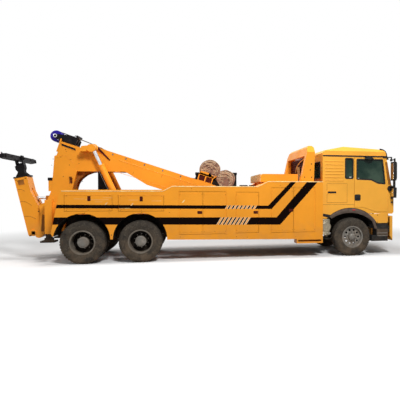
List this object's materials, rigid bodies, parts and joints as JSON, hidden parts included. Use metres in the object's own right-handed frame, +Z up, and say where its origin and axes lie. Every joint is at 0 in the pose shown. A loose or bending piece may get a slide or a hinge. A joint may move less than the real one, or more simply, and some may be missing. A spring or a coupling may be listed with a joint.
{
  "type": "tow truck",
  "caption": "Three-axle heavy recovery truck with tilting sleeper cab, side lockers, gantry, lifting boom with winches and a folding underlift with crossbar.",
  "frame": {"origin": "on the ground under the middle of the whole length, from the back of the underlift head to the front of the bumper", "axes": "+X forward, +Y to the vehicle's left, +Z up"},
  "size_m": [10.1506, 2.7, 3.3752],
  "materials": {
    "body_paint": "gloss",
    "cab_paint": "gloss",
    "black_steel": "satin",
    "grey_steel": "satin",
    "silver_rim": "satin",
    "tyre": "matt",
    "cast": "rough",
    "black_plastic": "matt",
    "chrome": "polished",
    "seat_fabric": "matt",
    "glass": "clear",
    "lamp": "clear"
  },
  "bodies": {
    "chassis": {"axles": "cast", "chassis_frame": "black_steel", "engine_block": "cast", "chassis_tanks": "grey_steel", "body_left": "body_paint", "body_right": "body_paint", "deck": "body_paint", "gantry": "body_paint", "tail_frame": "body_paint", "lamps": "lamp", "front_bumper": "cab_paint", "mudguards_and_steps": "black_plastic"},
    "knuckle_left": {"knuckle_left": "cast"},
    "wheel_front_left": {"tyre_front_left": "tyre", "rim_front_left": "silver_rim"},
    "wheels_drive_left": {"tyre_drive_left": "tyre", "rim_drive_left": "silver_rim"},
    "wheels_rear_left": {"tyre_rear_left": "tyre", "rim_rear_left": "silver_rim"},
    "knuckle_right": {"knuckle_right": "cast"},
    "wheel_front_right": {"tyre_front_right": "tyre", "rim_front_right": "silver_rim"},
    "wheels_drive_right": {"tyre_drive_right": "tyre", "rim_drive_right": "silver_rim"},
    "wheels_rear_right": {"tyre_rear_right": "tyre", "rim_rear_right": "silver_rim"},
    "cab": {"cab_shell": "cab_paint", "cab_roof": "cab_paint", "cab_glass": "glass", "cab_interior": "seat_fabric", "cab_fittings": "black_plastic"},
    "cab_door_left": {"cab_door_left": "cab_paint", "door_glass_left": "glass"},
    "lid_rear_left": {"lid_rear_left": "body_paint"},
    "lid_front_left": {"lid_front_left": "body_paint"},
    "door_a_rear_left": {"door_a_rear_left": "body_paint"},
    "door_a_front_left": {"door_a_front_left": "body_paint"},
    "door_b_left": {"door_b_left": "body_paint"},
    "door_c_rear_left": {"door_c_rear_left": "body_paint"},
    "door_c_front_left": {"door_c_front_left": "body_paint"},
    "cab_door_right": {"cab_door_right": "cab_paint", "door_glass_right": "glass"},
    "lid_rear_right": {"lid_rear_right": "body_paint"},
    "lid_front_right": {"lid_front_right": "body_paint"},
    "door_a_rear_right": {"door_a_rear_right": "body_paint"},
    "door_a_front_right": {"door_a_front_right": "body_paint"},
    "door_b_right": {"door_b_right": "body_paint"},
    "door_c_rear_right": {"door_c_rear_right": "body_paint"},
    "door_c_front_right": {"door_c_front_right": "body_paint"},
    "boom": {"boom": "body_paint", "winches": "body_paint"},
    "boom_inner": {"boom_inner": "black_steel"},
    "lift_barrels": {"lift_barrels": "body_paint"},
    "lift_rods": {"lift_rods": "chrome"},
    "underlift_arm": {"underlift_arm": "body_paint"},
    "fold_barrel": {"fold_barrel": "body_paint"},
    "fold_rod": {"fold_rod": "chrome"},
    "underlift_sleeve": {"underlift_sleeve": "black_steel"},
    "crossbar": {"crossbar": "black_steel"},
    "rear_jacks": {"rear_jacks": "black_steel"}
  },
  "joints": [
    {"name": "steer_left", "type": "hinge", "parent": "chassis", "child": "knuckle_left", "pos_m": [3.7905, 0.88, 0.525], "axis": [0, 0, 1], "range_deg": [-35, 35]},
    {"name": "roll_front_left", "type": "hinge", "parent": "knuckle_left", "child": "wheel_front_left", "pos_m": [3.7905, 1.05, 0.525], "axis": [0, 1, 0], "continuous": true},
    {"name": "roll_drive_left", "type": "hinge", "parent": "chassis", "child": "wheels_drive_left", "pos_m": [-1.8095, 0.9, 0.525], "axis": [0, 1, 0], "continuous": true},
    {"name": "roll_rear_left", "type": "hinge", "parent": "chassis", "child": "wheels_rear_left", "pos_m": [-3.1595, 0.9, 0.525], "axis": [0, 1, 0], "continuous": true},
    {"name": "steer_right", "type": "hinge", "parent": "chassis", "child": "knuckle_right", "pos_m": [3.7905, -0.88, 0.525], "axis": [0, 0, 1], "range_deg": [-35, 35]},
    {"name": "roll_front_right", "type": "hinge", "parent": "knuckle_right", "child": "wheel_front_right", "pos_m": [3.7905, -1.05, 0.525], "axis": [0, 1, 0], "continuous": true},
    {"name": "roll_drive_right", "type": "hinge", "parent": "chassis", "child": "wheels_drive_right", "pos_m": [-1.8095, -0.9, 0.525], "axis": [0, 1, 0], "continuous": true},
    {"name": "roll_rear_right", "type": "hinge", "parent": "chassis", "child": "wheels_rear_right", "pos_m": [-3.1595, -0.9, 0.525], "axis": [0, 1, 0], "continuous": true},
    {"name": "cab_tilt", "type": "hinge", "parent": "chassis", "child": "cab", "pos_m": [4.9005, 0, 0.88], "axis": [0, 1, 0], "range_deg": [0, 50]},
    {"name": "cab_door_left_swing", "type": "hinge", "parent": "cab", "child": "cab_door_left", "pos_m": [4.8805, 1.12, 1.6], "axis": [0, 0, -1], "range_deg": [0, 65]},
    {"name": "lid_rear_left_swing", "type": "hinge", "parent": "chassis", "child": "lid_rear_left", "pos_m": [-3.0095, 1.247, 1.681], "axis": [1, 0, 0], "range_deg": [0, 90]},
    {"name": "lid_front_left_swing", "type": "hinge", "parent": "chassis", "child": "lid_front_left", "pos_m": [-1.7845, 1.247, 1.672], "axis": [1, 0, 0], "range_deg": [0, 90]},
    {"name": "door_a_rear_left_swing", "type": "hinge", "parent": "chassis", "child": "door_a_rear_left", "pos_m": [-0.8675, 1.247, 1.2245], "axis": [0, 0, 1], "range_deg": [0, 90]},
    {"name": "door_a_front_left_swing", "type": "hinge", "parent": "chassis", "child": "door_a_front_left", "pos_m": [0.3125, 1.247, 1.2245], "axis": [0, 0, -1], "range_deg": [0, 90]},
    {"name": "door_b_left_swing", "type": "hinge", "parent": "chassis", "child": "door_b_left", "pos_m": [0.5705, 1.247, 1.224], "axis": [0, 0, 1], "range_deg": [0, 90]},
    {"name": "door_c_rear_left_swing", "type": "hinge", "parent": "chassis", "child": "door_c_rear_left", "pos_m": [1.4995, 1.247, 1.281], "axis": [0, 0, 1], "range_deg": [0, 90]},
    {"name": "door_c_front_left_swing", "type": "hinge", "parent": "chassis", "child": "door_c_front_left", "pos_m": [2.7005, 1.247, 1.281], "axis": [0, 0, -1], "range_deg": [0, 90]},
    {"name": "cab_door_right_swing", "type": "hinge", "parent": "cab", "child": "cab_door_right", "pos_m": [4.8805, -1.12, 1.6], "axis": [0, 0, 1], "range_deg": [0, 65]},
    {"name": "lid_rear_right_swing", "type": "hinge", "parent": "chassis", "child": "lid_rear_right", "pos_m": [-3.0095, -1.247, 1.681], "axis": [-1, 0, 0], "range_deg": [0, 90]},
    {"name": "lid_front_right_swing", "type": "hinge", "parent": "chassis", "child": "lid_front_right", "pos_m": [-1.7845, -1.247, 1.672], "axis": [-1, 0, 0], "range_deg": [0, 90]},
    {"name": "door_a_rear_right_swing", "type": "hinge", "parent": "chassis", "child": "door_a_rear_right", "pos_m": [-0.8675, -1.247, 1.2245], "axis": [0, 0, -1], "range_deg": [0, 90]},
    {"name": "door_a_front_right_swing", "type": "hinge", "parent": "chassis", "child": "door_a_front_right", "pos_m": [0.3125, -1.247, 1.2245], "axis": [0, 0, 1], "range_deg": [0, 90]},
    {"name": "door_b_right_swing", "type": "hinge", "parent": "chassis", "child": "door_b_right", "pos_m": [0.5705, -1.247, 1.224], "axis": [0, 0, -1], "range_deg": [0, 90]},
    {"name": "door_c_rear_right_swing", "type": "hinge", "parent": "chassis", "child": "door_c_rear_right", "pos_m": [1.4995, -1.247, 1.281], "axis": [0, 0, -1], "range_deg": [0, 90]},
    {"name": "door_c_front_right_swing", "type": "hinge", "parent": "chassis", "child": "door_c_front_right", "pos_m": [2.7005, -1.247, 1.281], "axis": [0, 0, 1], "range_deg": [0, 90]},
    {"name": "boom_lift", "type": "hinge", "parent": "chassis", "child": "boom", "pos_m": [-0.2095, 0, 1.72], "axis": [0, 1, 0], "range_deg": [0, 18]},
    {"name": "boom_extend", "type": "slide", "parent": "boom", "child": "boom_inner", "axis": [-0.9516, 0, 0.3074], "range_m": [0, 0.9]},
    {"name": "lift_barrel_tilt", "type": "hinge", "parent": "chassis", "child": "lift_barrels", "pos_m": [-2.3495, 0, 1.3], "axis": [0, 1, 0], "range_deg": [0, 19.7]},
    {"name": "lift_rod_slide", "type": "slide", "parent": "lift_barrels", "child": "lift_rods", "axis": [-0.4077, 0, 0.9131], "range_m": [0, 0.681]},
    {"name": "underlift_fold", "type": "hinge", "parent": "boom", "child": "underlift_arm", "pos_m": [-4.5495, 0, 0.7], "axis": [0, -1, 0], "range_deg": [0, 88]},
    {"name": "fold_barrel_tilt", "type": "hinge", "parent": "boom", "child": "fold_barrel", "pos_m": [-3.3095, 0, 1.6], "axis": [0, -1, 0], "range_deg": [0, 22]},
    {"name": "fold_rod_slide", "type": "slide", "parent": "fold_barrel", "child": "fold_rod", "axis": [-1, 0, 0.0037], "range_m": [0, 1.083]},
    {"name": "underlift_extend", "type": "slide", "parent": "underlift_arm", "child": "underlift_sleeve", "axis": [-0.2164, 0, 0.9763], "range_m": [0, 0.9]},
    {"name": "crossbar_swivel", "type": "hinge", "parent": "underlift_sleeve", "child": "crossbar", "pos_m": [-4.95908, 0, 2.61679], "axis": [0.9763, 0, 0.2164], "range_deg": [-40, 40]},
    {"name": "rear_jacks_slide", "type": "slide", "parent": "chassis", "child": "rear_jacks", "axis": [0, 0, -1], "range_m": [0, 0.48]}
  ],
  "couplings": [
    {"joint": "steer_right", "follows": "steer_left", "ratio": 1},
    {"joint": "lift_barrel_tilt", "follows": "boom_lift", "ratio": 1.0904},
    {"joint": "lift_rod_slide", "follows": "boom_lift", "m_per_rad": 2.1632},
    {"joint": "fold_barrel_tilt", "follows": "underlift_fold", "ratio": 0.24926},
    {"joint": "fold_rod_slide", "follows": "underlift_fold", "m_per_rad": 0.70441}
  ]
}
